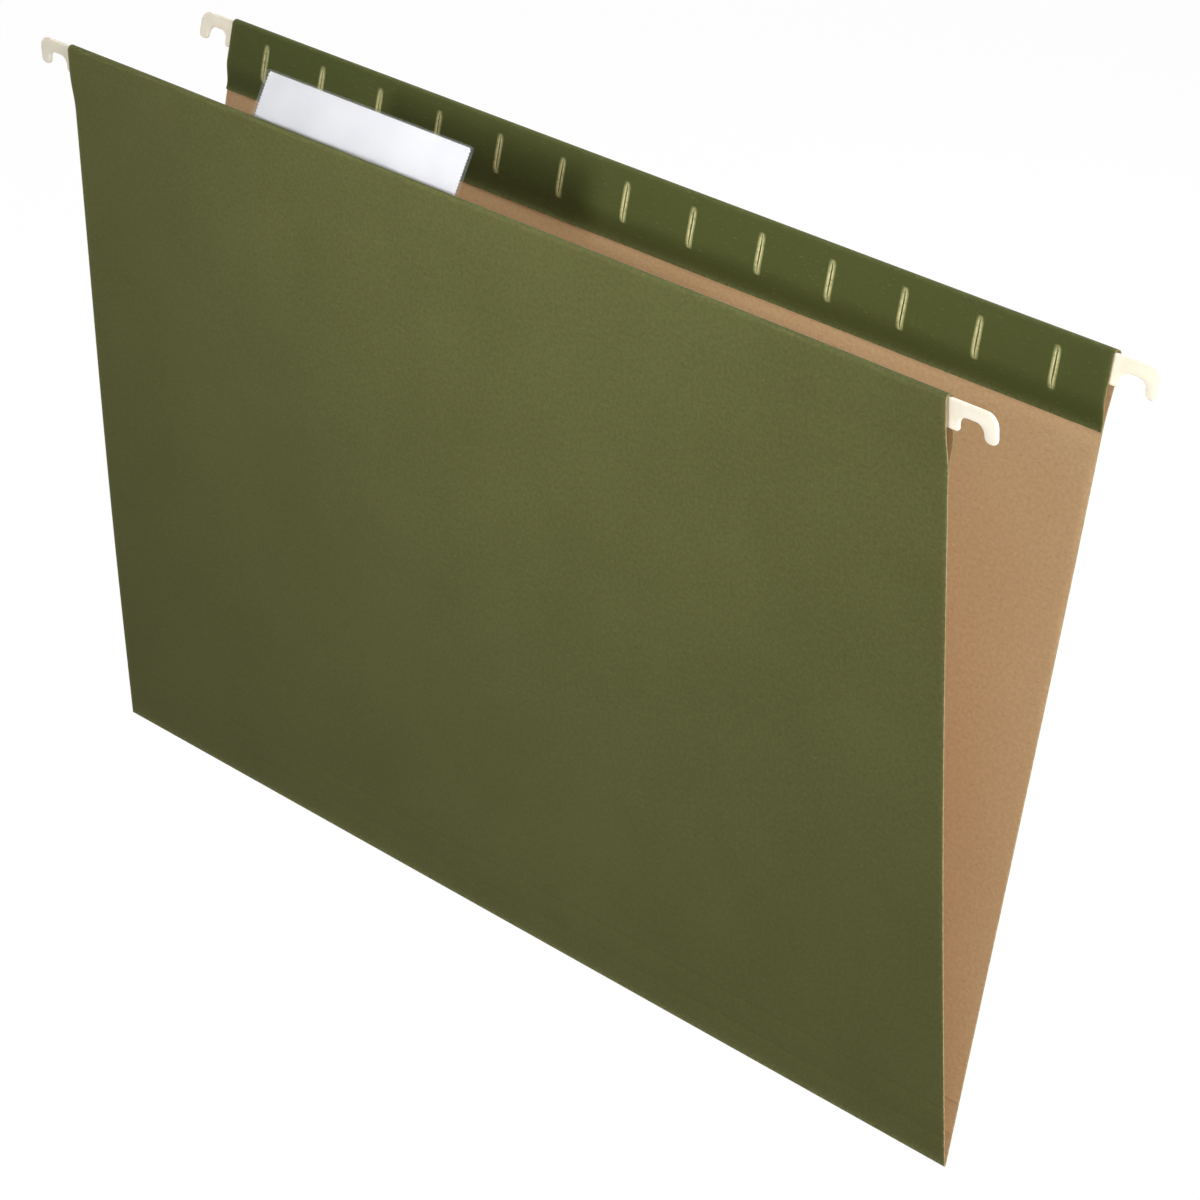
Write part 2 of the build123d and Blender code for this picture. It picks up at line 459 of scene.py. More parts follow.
def bend_part(side):
    """The bend over the rod: a half circle from the panel to the flap."""
    start = panel_line - hem_swell(columns, panel_height)
    radius = (flap_line - start) / 2
    centre = panel_height - board / 2 - radius
    rows = []
    for turn in np.linspace(np.pi, 0, bend_steps + 1):
        inner_share = (1 + math.cos(turn)) / 2
        inward = start + radius * (1 + math.cos(turn))
        up = centre + radius * math.sin(turn)
        rows.append(row_of(side, inward, up, flap=inner_share, wear=top_rub * math.sin(turn) ** 2))
    return rows


def flap_part(side):
    """The flap, from the bend down to its edge."""
    rows = []
    for up in flap_rows:
        rub = edge_rub * math.exp(-(up - flap_bottom) / edge_reach)
        rows.append(row_of(side, flap_lift(side, columns, up), up, flap=1, wear=rub))
    return rows


half_rows = {side: panel_part(side) + bend_part(side) + flap_part(side) for side in (1, -1)}
print("each half has", len(half_rows[1]), "rows")

# %% Rows of the whole sheet


def bottom_part():
    """The bottom fold itself, from the front panel round to the back one."""
    rows = []
    for turn in np.linspace(-1, 1, bend_steps + 1)[1:-1] * (math.pi / 2 - half_angle):
        y = -panel_line * math.sin(turn)
        z = fold_point.z + panel_line * math.cos(turn)
        points = np.stack(np.broadcast_arrays(columns, y, z), axis=-1)
        rows.append(dict(points=points, up=0, flap=0, wear=fold_rub, crease=1, slit_open=shut_share))
    return rows


sheet_rows = half_rows[1][::-1] + bottom_part() + half_rows[-1]
print("the sheet has", len(sheet_rows), "rows from flap to flap")

# %% [markdown]
# ## From rows to one sheet
# The rows become a mesh of four-sided faces, which is the middle surface of the card. Its marks could be
# painted on by hand, but every row knows its own, so they are written to the points as attributes. The
# flat map is the sheet before it is folded: the way across, and the length along the card from flap to
# flap. A pattern on this map runs over the folds without a break.

# %% Middle surface of the sheet


def grid_faces(row_count, column_count):
    """Faces of a grid whose points are numbered row by row."""
    faces = []
    for row in range(row_count - 1):
        for column in range(column_count - 1):
            here = row * column_count + column
            faces.append((here, here + column_count, here + column_count + 1, here + 1))
    return faces


def add_object(name, data):
    """A new object in the scene."""
    holder = bpy.data.objects.new(name, data)
    bpy.context.scene.collection.objects.link(holder)
    return holder


sheet_points = np.array([row["points"] for row in sheet_rows])
sheet_mesh = bpy.data.meshes.new("folder_sheet")
sheet_mesh.from_pydata(sheet_points.reshape(-1, 3).tolist(), [], grid_faces(*sheet_points.shape[:2]))
for material in (green_card, kraft_card, cut_card):
    sheet_mesh.materials.append(material)
folder_sheet = add_object("folder_sheet", sheet_mesh)
print("the middle surface has", len(sheet_mesh.polygons), "faces")

# %% Marks and map on the sheet
side_rub, side_reach = 0.6, 0.4 * MM


def layer(name):
    """One mark of every row, spread over the columns."""
    return np.array([np.broadcast_to(row[name], columns.shape) for row in sheet_rows])


layers = {name: layer(name) for name in ("slit_open", "up", "flap", "crease", "wear")}
from_side = panel_width / 2 - np.abs(columns)
layers["wear"] = np.maximum(layers["wear"], side_rub * np.exp(-from_side / side_reach))
layers["across"] = np.broadcast_to(columns, layers["up"].shape)
layers["slit_side"] = np.broadcast_to(column_side, layers["up"].shape)
for name, values in layers.items():
    marks = sheet_mesh.attributes.new(name, "FLOAT", "POINT")
    marks.data.foreach_set("value", np.ascontiguousarray(values, dtype=np.float32).ravel())

steps = np.linalg.norm(np.diff(sheet_points[:, len(columns) // 2], axis=0), axis=1)
along = np.concatenate([[0], np.cumsum(steps)])
flat = np.stack(np.broadcast_arrays(columns + panel_width / 2, along[:, None]), axis=-1).reshape(-1, 2)
corner_points = np.zeros(len(sheet_mesh.loops), dtype=np.int32)
sheet_mesh.loops.foreach_get("vertex_index", corner_points)
card_map = sheet_mesh.uv_layers.new(name=card_map_name)
card_map.data.foreach_set("uv", flat[corner_points].astype(np.float32).ravel())
print("the card is", round(float(along[-1]), 4), "m long from flap to flap, with", len(layers), "marks")

# %% [markdown]
# ## Slits
# Both flaps have a row of thirteen slits, so that the tab can stand at any place along the hem. Each is
# a knife cut that gapes a little in the middle, with pale frayed lips. A boolean could cut them, but it
# would leave ragged faces. The grid already has a column on each side of every slit, so a Geometry
# Nodes tree bends those columns into a lens, deletes the faces between them and marks the lips.

# %% Helpers for Geometry Nodes


def new_tree(name, inputs):
    """An empty tree with named inputs: gives the tree, its input sockets by name, and its end."""
    tree = bpy.data.node_groups.new(name, "GeometryNodeTree")
    tree.interface.new_socket("Geometry", in_out="INPUT", socket_type="NodeSocketGeometry")
    for label, kind in inputs.items():
        tree.interface.new_socket(label, in_out="INPUT", socket_type="NodeSocket" + kind)
    tree.interface.new_socket("Geometry", in_out="OUTPUT", socket_type="NodeSocketGeometry")
    start = tree.nodes.new("NodeGroupInput")
    end = tree.nodes.new("NodeGroupOutput")
    return tree, start.outputs, end.inputs[0]


def named_value(tree, name):
    """A mark that the mesh carries on its points."""
    inputs = {"Name": name}
    return add_node(tree, "GeometryNodeInputNamedAttribute", inputs, data_type="FLOAT").outputs["Attribute"]


def compare(tree, operation, first, second):
    """A test on two numbers."""
    inputs = {0: first, 1: second}
    return add_node(tree, "FunctionNodeCompare", inputs, data_type="FLOAT", operation=operation).outputs[0]


def all_true(tree, first, *others):
    """A test that holds where every one of the given tests holds."""
    for other in others:
        first = add_node(tree, "FunctionNodeBooleanMath", {0: first, 1: other}).outputs[0]
    return first


def close_tree(tree, geometry, material, end):
    """The last two nodes of every tree: real geometry, with its material."""
    real = add_node(tree, "GeometryNodeRealizeInstances", {"Geometry": geometry}).outputs[0]
    dressed = add_node(tree, "GeometryNodeSetMaterial", {"Geometry": real, "Material": material})
    tree.links.new(dressed.outputs[0], end)


print("every tree here ends in Realize Instances and Set Material")

# %% How wide a slit gapes
slit_inputs = {
    "Slit Pitch": "Float",
    "Slit Length": "Float",
    "Slit Width": "Float",
    "Slit Middle": "Float",
    "Blunt Share": "Float",
    "Lip Width": "Float",
    "Card": "Material",
}


def lens_half_gap(tree, given, share):
    """Half the gap at a share of the slit's half length: widest in the middle, and blunt at the ends."""
    room = calc(tree, "MAXIMUM", calc(tree, "SUBTRACT", 1.0, calc(tree, "MULTIPLY", share, share)), 0.0)
    round_share = calc(tree, "SUBTRACT", 1.0, given["Blunt Share"])
    round_part = calc(tree, "MULTIPLY", calc(tree, "SQRT", room), round_share)
    lens = calc(tree, "ADD", round_part, given["Blunt Share"])
    widest = calc(tree, "MULTIPLY", given["Slit Width"], named_value(tree, "slit_open"))
    return calc(tree, "MULTIPLY", calc(tree, "MULTIPLY", widest, 0.5), lens)


print("the tree for the slits takes", ", ".join(slit_inputs))

# %% A tree that opens the slits
# The least flap mark that counts, the play at a slit's end, and where the fraying fades round that end
flap_least_share, end_play_share = 0.99, 0.001
fade_start_share, fade_stop_share = 0.98, 1.1


def slit_tree():
    """Opens a row of lens-shaped slits in the flaps of the sheet, and marks their lips."""
    tree, given, end = new_tree("row of slits", slit_inputs)
    across, side = named_value(tree, "across"), named_value(tree, "slit_side")
    on_flap = compare(tree, "GREATER_THAN", named_value(tree, "flap"), flap_least_share)
    whole = calc(tree, "ROUND", calc(tree, "DIVIDE", across, given["Slit Pitch"]))
    nearest = calc(tree, "MULTIPLY", whole, given["Slit Pitch"])
    aside = calc(tree, "ABSOLUTE", calc(tree, "SUBTRACT", across, nearest))
    above = calc(tree, "SUBTRACT", named_value(tree, "up"), given["Slit Middle"])
    half_length = calc(tree, "MULTIPLY", given["Slit Length"], 0.5)
    share = calc(tree, "ABSOLUTE", calc(tree, "DIVIDE", above, half_length))
    half_gap = lens_half_gap(tree, given, share)

    lip_place = calc(tree, "ADD", nearest, calc(tree, "MULTIPLY", side, half_gap))
    shift = add_node(tree, "ShaderNodeCombineXYZ", {"X": calc(tree, "SUBTRACT", lip_place, across)})
    beside_slit = compare(tree, "GREATER_THAN", calc(tree, "ABSOLUTE", side), 0.5)
    up_to_end = compare(tree, "LESS_THAN", share, 1.0 + end_play_share)
    bent = add_node(tree, "GeometryNodeSetPosition", {
        "Geometry": given["Geometry"],
        "Selection": all_true(tree, on_flap, up_to_end, beside_slit),
        "Offset": shift.outputs[0],
    })

    off_lip = calc(tree, "SUBTRACT", aside, half_gap)
    near_lip = rescale(tree, off_lip, 0.0, given["Lip Width"], to=(1.0, 0.0))
    before_end = rescale(tree, share, fade_start_share, fade_stop_share, to=(1.0, 0.0))
    lip = calc(tree, "MULTIPLY", near_lip, before_end)
    marked = add_node(tree, "GeometryNodeStoreNamedAttribute", {
        "Geometry": bent.outputs[0],
        "Name": "fray",
        "Value": calc(tree, "MULTIPLY", lip, named_value(tree, "flap")),
    }, data_type="FLOAT", domain="POINT")

    quarter_gap = calc(tree, "MULTIPLY", given["Slit Width"], 0.25)
    between = compare(tree, "LESS_THAN", aside, quarter_gap)
    cut = add_node(tree, "GeometryNodeDeleteGeometry", {
        "Geometry": marked.outputs[0],
        "Selection": all_true(tree, on_flap, between, compare(tree, "LESS_THAN", share, 1.0)),
    }, domain="FACE")
    close_tree(tree, cut.outputs[0], given["Card"], end)
    return tree


row_of_slits = slit_tree()
print("the tree for", row_of_slits.name, "has", len(row_of_slits.nodes), "nodes")

# %% Cut the slits and thicken the card
slit_blunt_share, slit_lip = 0.25, 1.1 * MM


def add_tree(piece, tree, values):
    """Put a tree on an object, with its inputs set by their sockets' identifiers."""
    modifier = piece.modifiers.new(tree.name, "NODES")
    modifier.node_group = tree
    for item in tree.interface.items_tree:
        if item.in_out == "INPUT" and item.name in values:
            modifier[item.identifier] = values[item.name]


def make_plain(piece):
    """Turn the evaluated object into a plain mesh and drop its modifiers."""
    graph = bpy.context.evaluated_depsgraph_get()
    mesh = bpy.data.meshes.new_from_object(piece.evaluated_get(graph), depsgraph=graph)
    piece.modifiers.clear()
    piece.data = mesh
    mesh.name = piece.name
    return mesh


def smooth_by_angle(mesh, degrees):
    """Smooth shading, with an edge kept wherever the surface turns by more than some degrees."""
    mesh.shade_smooth()
    mesh.set_sharp_from_angle(angle=math.radians(degrees))


add_tree(folder_sheet, row_of_slits, {
    "Slit Pitch": slit_pitch,
    "Slit Length": slit_length,
    "Slit Width": slit_width,
    "Slit Middle": slit_middle,
    "Blunt Share": slit_blunt_share,
    "Lip Width": slit_lip,
    "Card": green_card,
})
thicken = folder_sheet.modifiers.new("card thickness", "SOLIDIFY")
thicken.thickness = board
thicken.offset = 0
thicken.material_offset = 1
thicken.material_offset_rim = 2
sheet_mesh = make_plain(folder_sheet)
smooth_by_angle(sheet_mesh, 35)
print("sheet with slits:", len(sheet_mesh.polygons), "faces,", [m.name for m in sheet_mesh.materials])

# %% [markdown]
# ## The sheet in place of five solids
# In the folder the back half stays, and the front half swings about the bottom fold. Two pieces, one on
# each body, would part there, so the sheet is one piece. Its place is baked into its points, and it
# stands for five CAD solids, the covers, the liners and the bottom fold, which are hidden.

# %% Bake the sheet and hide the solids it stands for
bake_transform(folder_sheet)
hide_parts("front_cover", "front_liner", "back_cover", "back_liner", "bottom_fold")

# %% [markdown]
# ## Cream plastic
# The ends of the rods are dipped in plastic, which sets to a thick skin with a soft shine. One even
# colour would look like paint, so slow noise shifts its tone and gloss a little, and fine noise gives
# it the faint peel of a dipped coat.

# %% Cream plastic


def coat_finish():
    """Dipped plastic: nearly even, with a faint peel."""
    material, tree, shader = new_finish("cream hook coat")
    place = object_place(tree)
    drift = noise(tree, place, scale=140, detail=2.0, roughness=0.5)
    peel = noise(tree, place, scale=1500, detail=2.0, roughness=0.5)
    tone = rescale(tree, drift, 0.35, 0.65)
    fill(tree, shader, {
        "Base Color": mix_colour(tree, tone, paint(241, 233, 212), paint(247, 240, 223)),
        "Roughness": rescale(tree, drift, 0.3, 0.7, to=(0.3, 0.42)),
        "Normal": bump(tree, peel, strength=0.2, distance=0.05 * MM),
    })
    return material


hook_coat = coat_finish()
print("hooks wear", hook_coat.name)

# %% [markdown]
# ## Hooks
# The coated ends of the rods stick out of the hems as hooks that ride on the rails of a drawer. A hook
# could be a box with a notch cut into it, but its edges would be sharp. Here a flat outline with arcs at
# its corners becomes a filled curve, whose own bevel rounds the edges as a thick coat does. Made a mesh,
# it is laid in the plane of the rod and serves for all four hooks.

# %% Outline of a hook
mounts = {mount["name"]: mount for mount in frame["record"]["mounts"]}
tip_low, tip_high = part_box("front_right_tip")
coat_start, hook_end = tip_low.x, tip_high.x
hook_low = panel_height - 9.65 * MM
hook_high = panel_height - 0.85 * MM
notch_width, notch_depth = 8.8 * MM, 4.7 * MM
notch_middle = mounts["front_right_hook"]["pos_m"][0]
notch_in = notch_middle - notch_width / 2
notch_out = notch_middle + notch_width / 2
hook_seat = hook_low + notch_depth
hidden_round, leg_round, notch_round = 0.6 * MM, 1.0 * MM, 2.8 * MM
tail_round, shoulder_round = 1.9 * MM, 4.0 * MM
hook_corners = [
    (coat_start, hook_low, hidden_round),
    (notch_in, hook_low, leg_round),
    (notch_in, hook_seat, notch_round),
    (notch_out, hook_seat, notch_round),
    (notch_out, hook_low, tail_round),
    (hook_end, hook_low, tail_round),
    (hook_end, hook_high, shoulder_round),
    (coat_start, hook_high, hidden_round),
]


def rounded_outline(corners, steps):
    """Points of a closed outline whose corners are arcs of so many steps."""
    outline = []
    for index, (x, y, radius) in enumerate(corners):
        here = Vector((x, y))
        before = (Vector(corners[index - 1][:2]) - here).normalized()
        after = (Vector(corners[(index + 1) % len(corners)][:2]) - here).normalized()
        half_turn = before.angle(after) / 2
        centre = here + (before + after).normalized() * (radius / math.sin(half_turn))
        start = here + before * (radius / math.tan(half_turn)) - centre
        end = here + after * (radius / math.tan(half_turn)) - centre
        sweep = start.angle_signed(end)
        for step in range(steps + 1):
            outline.append(centre + Matrix.Rotation(-sweep * step / steps, 2) @ start)
    return outline


hook_outline = rounded_outline(hook_corners, steps=8)
print("the outline of a hook has", len(hook_outline), "points")

# %% From an outline to a piece
coated_thickness, coat_edge = 1.1 * MM, 0.34 * MM
least_gap = 0.002 * MM


def soft_plate(name, outline, thickness, edge):
    """A flat plate with rounded edges, made from a filled curve and turned into a mesh."""
    curve = bpy.data.curves.new(name, "CURVE")
    curve.dimensions = "2D"
    curve.fill_mode = "BOTH"
    curve.extrude = thickness / 2 - edge
    curve.bevel_depth = edge
    curve.bevel_resolution = 3
    curve.offset = -edge
    spline = curve.splines.new("POLY")
    spline.points.add(len(outline) - 1)
    for point, place in zip(spline.points, outline):
        point.co = (place.x, place.y, 0, 1)
    spline.use_cyclic_u = True
    holder = bpy.data.objects.new(name, curve)
    mesh = bpy.data.meshes.new_from_object(holder)
    bpy.data.objects.remove(holder)
    bpy.data.curves.remove(curve)
    return mesh


def add_piece(name, mesh, material, smooth_degrees):
    """A finished piece at the origin, with closed seams, outward faces and one material."""
    shape = bmesh.new()
    shape.from_mesh(mesh)
    bmesh.ops.remove_doubles(shape, verts=shape.verts, dist=least_gap)
    bmesh.ops.recalc_face_normals(shape, faces=shape.faces)
    shape.to_mesh(mesh)
    shape.free()
    mesh.materials.clear()
    mesh.materials.append(material)
    mesh.name = name
    smooth_by_angle(mesh, smooth_degrees)
    return add_object(name, mesh)


hook_shape = soft_plate("hook", hook_outline, coated_thickness, coat_edge)
print("one hook has", len(hook_shape.polygons), "faces")

# %% Lay the four hooks
rod_plane = 0.65 * MM


def points_of(mesh):
    """The places of a mesh's points, one in each row."""
    return np.array([vertex.co for vertex in mesh.vertices])


def move_points(mesh, places):
    """Put the points of a mesh at new places."""
    mesh.vertices.foreach_set("co", np.array(places, dtype=np.float32).ravel())


for half, side in (("front", 1), ("back", -1)):
    for name, hand in (("left", -1), ("right", 1)):
        mesh = hook_shape.copy()
        along_rod, up, off_plane = points_of(mesh).T
        move_points(mesh, on_half(side, hand * along_rod, rod_plane + off_plane, up))
        hook = add_piece(f"{half}_{name}_hook", mesh, hook_coat, smooth_degrees=50)
        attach(hook, half + "_rod")
        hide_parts(f"{half}_{name}_tip")
        print(hook.name, "reaches", round(float(hand * max(along_rod)), 4), "m from the middle")

# %% [markdown]
# ## Steel rods and glue
# The rods are flat rolled strip: bright steel with fine lines along its length. The glue that closes each
# hem dries to a clouded cream film. Both are right as CAD solids and show only in the slits and at the
# mouths of the hems, so new meshes would gain nothing. They keep their shape and just get a finish.

# %% Finishes for the rods and the glue


def steel_finish():
    """Rolled steel: stretched noise for the lines, and slow noise for dull patches."""
    material, tree, shader = new_finish("rolled steel")
    place = object_place(tree)
    lines = noise(tree, turned(tree, place, 0, (0.02, 1.0, 1.0)), scale=9000, detail=3.0, roughness=0.6)
    stain = noise(tree, place, scale=60, detail=3.0, roughness=0.5)
    dulled = rescale(tree, stain, 0.35, 0.7)
    fill(tree, shader, {
        "Base Color": mix_colour(tree, dulled, paint(196, 197, 198), paint(168, 169, 170)),
        "Metallic": 1.0,
        "Roughness": rescale(tree, lines, 0.3, 0.7, to=(0.28, 0.46)),
        "Normal": bump(tree, lines, strength=0.15, distance=0.02 * MM),
    })
    return material


def glue_finish():
    """Dried glue: a cream film with milky clouds."""
    material, tree, shader = new_finish("dried glue")
    clouds = noise(tree, object_place(tree), scale=260, detail=3.0, roughness=0.6)
    milky = rescale(tree, clouds, 0.35, 0.65)
    fill(tree, shader, {
        "Base Color": mix_colour(tree, milky, paint(214, 202, 170), paint(236, 228, 204)),
        "Roughness": rescale(tree, clouds, 0.3, 0.7, to=(0.3, 0.55)),
        "Normal": bump(tree, clouds, strength=0.3, distance=0.05 * MM),
    })
    return material


finishes = {"rod": steel_finish(), "hem_glue": glue_finish()}
for half in ("front", "back"):
    for piece, material in finishes.items():
        mesh = frame["nodes"][f"{half}_{piece}"].data
        mesh.materials.clear()
        mesh.materials.append(material)
        print(f"{half}_{piece} keeps its CAD shape and wears", material.name)

# %% [markdown]
# ## Clear plastic
# The tab is clear plastic, a third of a millimetre thick and a little smudged. A glass shader could trace
# how it bends light, but such a thin sheet hardly bends any and only takes longer. So the shader lets
# most light pass by alpha, and its gloss does the rest, with waves and smudges in it.

# %% Clear plastic


def plastic_finish():
    """Thin clear plastic: mostly see-through, with a wavy and smudged gloss."""
    material, tree, shader = new_finish("clear plastic")
    place = object_place(tree)
    smudge = noise(tree, place, scale=90, detail=3.0, roughness=0.55)
    waves = noise(tree, turned(tree, place, 0, (0.25, 1.0, 1.0)), scale=260, detail=2.0, roughness=0.5)
    fill(tree, shader, {
        "Base Color": mix_colour(tree, smudge, paint(150, 156, 160), paint(172, 177, 180)),
        "Roughness": rescale(tree, smudge, 0.35, 0.7, to=(0.06, 0.2)),
        "Normal": bump(tree, waves, strength=0.1, distance=0.1 * MM),
        "Alpha": 0.1,
    })
    return material


clear_plastic = plastic_finish()
print("the tab is made of", clear_plastic.name)

# %% [markdown]
# ## Foot of the tab
# The tab is a folded strip. Its foot lies on the hem and ends in two ears, which go through the slits and
# lie behind the flap. Boxes could stand for the foot and its ears, but the strip is one bent piece of
# one thickness. So its path from ear to ear is swept into a grid, which is thickened and has its edges
# eased.

# %% A strip of plastic through rows of points
plastic = 0.3 * MM
plastic_edge = 0.06 * MM


def strip_mesh(name, rows):
    """A grid through rows of points, made as thick as the plastic and with eased edges."""
    grid = np.array(rows)
    mesh = bpy.data.meshes.new(name)
    mesh.from_pydata(grid.reshape(-1, 3).tolist(), [], grid_faces(*grid.shape[:2]))
    holder = add_object(name, mesh)
    thick = holder.modifiers.new("thickness", "SOLIDIFY")
    thick.thickness = plastic
    thick.offset = 0
    edge = holder.modifiers.new("eased edges", "BEVEL")
    edge.width = plastic_edge
    edge.segments = 2
    edge.limit_method = "ANGLE"
    edge.angle_limit = math.radians(60)
    solid = make_plain(holder)
    bpy.data.objects.remove(holder)
    return solid


print("strips are", plastic, "m thick")

# %% Foot of the tab
foot_box_low, foot_box_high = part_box("tab_foot")
left_end, right_end = foot_box_low.x, foot_box_high.x
left_slit, right_slit = tab_slits
foot_clearance, ear_clearance = 0.1 * MM, 0.175 * MM
foot_line = -fold_play + tunnel_gap + board + foot_clearance + plastic / 2
ear_line = -fold_play + tunnel_gap - ear_clearance - plastic / 2
foot_top = panel_height - 6 * MM - plastic / 2
foot_low = panel_height - 15 * MM
ear_round = 3 * MM
ear_margin = 0.8 * MM
jog = 0.3 * MM
ear_points, middle_points, height_points = 12, 24, 7


def foot_path():
    """Places along the foot strip from ear to ear, as across, inward and the margin of the strip."""
    left_ear = [(x, ear_line, ear_margin) for x in np.linspace(left_end, left_slit - jog, ear_points)]
    middle = [(x, foot_line, 0) for x in np.linspace(left_slit + jog, right_slit - jog, middle_points)]
    right_ear = [(x, ear_line, ear_margin) for x in np.linspace(right_slit + jog, right_end, ear_points)]
    return left_ear + middle + right_ear


def ear_trim(across):
    """How much the rounded end of an ear takes off the strip's top and bottom."""
    short_of_round = max(0, ear_round - min(across - left_end, right_end - across))
    return ear_round - math.sqrt(max(0, ear_round ** 2 - short_of_round ** 2))


def foot_row(share):
    """One line along the strip, at a share of its height."""
    row = []
    for across, inward, margin in foot_path():
        trim = ear_trim(across) + margin
        low, high = foot_low + trim, foot_top - trim
        row.append(on_half(1, across, inward, low + (high - low) * share))
    return row


foot_mesh = strip_mesh("tab_foot_strip", [foot_row(share) for share in np.linspace(0, 1, height_points)])
foot = add_piece("tab_foot_strip", foot_mesh, clear_plastic, smooth_degrees=40)
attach(foot, "front_half")
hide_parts("tab_foot")
print("foot strip spans", round((right_end - left_end) / MM, 1), "mm from ear to ear")

# %% [markdown]
# ## Pocket of the tab
# Above a thin crease the strip goes on as a pocket: up a front wall, over a folded top, down a rear wall
# and in under the label as a lip. A thin box would miss the folded top, where the plastic catches light.
# The pocket is drawn from its end as a path, swept along its width, and leaned back on the crease.

# %% Pocket of the tab
pocket_box_low, pocket_box_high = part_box("tab_pocket")
pocket_width = pocket_box_high.x - pocket_box_low.x
pocket_height = 19.5 * MM
pocket_gap = 0.8 * MM
pocket_corner = 1.0 * MM
crease_clearance, lip_clearance = 0.1 * MM, 0.1 * MM
lip_height = 1.2 * MM - plastic / 2
lip_round, lip_bevel = 0.2 * MM, 0.06 * MM
fold_round = (pocket_gap + plastic) / 2
fold_centre = pocket_height - plastic - pocket_gap / 2
wall_points, fold_points, width_points = 10, 9, 40

crease_point = Vector(joints["tab_tilt"]["pos_m"])
tab_lean = math.radians(30)
tilt = half_angle - tab_lean
backward = Vector((0, math.cos(tilt), math.sin(tilt)))
upward = Vector((0, -math.sin(tilt), math.cos(tilt)))


def on_tab(across, back, rise):
    """A point of the tab: back from its front wall and up from its crease."""
    return crease_point + Vector((across, 0, 0)) + backward * back + upward * rise


def pocket_path():
    """The pocket seen from its end: front wall, folded top, rear wall and the lip below it."""
    wall_foot = plastic / 2 + crease_clearance
    rear = 2 * fold_round
    front_wall = [(0, rise) for rise in np.linspace(wall_foot, fold_centre, wall_points)]
    turns = np.linspace(math.pi, 0, fold_points)[1:]
    top = [(fold_round * (1 + math.cos(t)), fold_centre + fold_round * math.sin(t)) for t in turns]
    rear_rises = np.linspace(fold_centre, lip_height + lip_round, wall_points)[1:]
    rear_wall = [(rear, rise) for rise in rear_rises]
    lip = [
        (rear - lip_bevel, lip_height + lip_bevel),
        (rear - lip_round, lip_height),
        (plastic / 2 + lip_clearance, lip_height),
    ]
    return front_wall + top + rear_wall + lip


def pocket_row(back, rise):
    """One line along the pocket, shorter near its top, where the corners are rounded."""
    above = max(0, rise - (pocket_height - plastic / 2 - pocket_corner))
    reach = pocket_width / 2 - pocket_corner + math.sqrt(max(0, pocket_corner ** 2 - above ** 2))
    return [on_tab(across, back, rise) for across in np.linspace(-reach, reach, width_points)]


pocket_mesh = strip_mesh("tab_clear_pocket", [pocket_row(back, rise) for back, rise in pocket_path()])
pocket = add_piece("tab_clear_pocket", pocket_mesh, clear_plastic, smooth_degrees=40)
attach(pocket, "tab")
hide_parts("tab_pocket")
print("pocket stands", round(pocket_height / MM, 1), "mm up from its crease")

# %% [markdown]
# ## Paper of the label
# The label is plain white paper and is left blank. Pure white would clip under the lamps and hide its
# shape, so the paper is a cool grey white, with felt marks and faint clouds from two layers of noise.

# %% Label paper


def paper_finish():
    """White paper: felt marks, faint clouds and no shine."""
    material, tree, shader = new_finish("label paper")
    place = object_place(tree)
    felt = noise(tree, place, scale=1400, detail=3.0, roughness=0.6)
    cloud = noise(tree, place, scale=70, detail=3.0, roughness=0.5)
    tone = rescale(tree, weighed(tree, cloud, felt, 0.7), 0.35, 0.65)
    fill(tree, shader, {
        "Base Color": mix_colour(tree, tone, paint(231, 231, 237), paint(240, 240, 245)),
        "Roughness": rescale(tree, felt, 0.3, 0.7, to=(0.68, 0.85)),
        "Specular IOR Level": 0.3,
        "Normal": bump(tree, felt, strength=0.25, distance=0.04 * MM),
    })
    return material


label_paper = paper_finish()
print("the label is", label_paper.name)

# %% [markdown]
# ## Label
# The label is torn from a perforated sheet, so its short ends are set with small nibs of paper. They
# could be drawn into its outline, but their count and size are easier to change in a Geometry Nodes
# tree, which puts one nib on every point of a line along each end.

# %% A tree that adds the torn ends
nib_inputs = {
    "Nib Count": "Int",
    "Nib Pitch": "Float",
    "Nib Length": "Float",
    "Nib Width": "Float",
    "Thickness": "Float",
    "Half Width": "Float",
    "Paper": "Material",
}


def nib_tree():
    """Adds a row of paper nibs to each short end of a flat label that lies in XY."""
    tree, given, end = new_tree("torn ends", nib_inputs)
    size = add_node(tree, "ShaderNodeCombineXYZ", {
        "X": given["Nib Length"],
        "Y": given["Nib Width"],
        "Z": given["Thickness"],
    })
    nib = add_node(tree, "GeometryNodeMeshCube", {"Size": size.outputs[0]})
    step = add_node(tree, "ShaderNodeCombineXYZ", {"Y": given["Nib Pitch"]})
    gaps = calc(tree, "SUBTRACT", given["Nib Count"], 1.0)
    start_y = calc(tree, "MULTIPLY", calc(tree, "MULTIPLY", gaps, given["Nib Pitch"]), -0.5)
    join = add_node(tree, "GeometryNodeJoinGeometry", {0: given["Geometry"]})
    for hand in (-1.0, 1.0):
        start_x = calc(tree, "MULTIPLY", given["Half Width"], hand)
        start = add_node(tree, "ShaderNodeCombineXYZ", {"X": start_x, "Y": start_y})
        line = add_node(tree, "GeometryNodeMeshLine", {
            "Count": given["Nib Count"],
            "Start Location": start.outputs[0],
            "Offset": step.outputs[0],
        })
        row = add_node(tree, "GeometryNodeInstanceOnPoints", {
            "Points": line.outputs[0],
            "Instance": nib.outputs[0],
        })
        tree.links.new(row.outputs[0], join.inputs[0])
    close_tree(tree, join.outputs[0], given["Paper"], end)
    return tree


torn_ends = nib_tree()
print("the tree for", torn_ends.name, "has", len(torn_ends.nodes), "nodes")

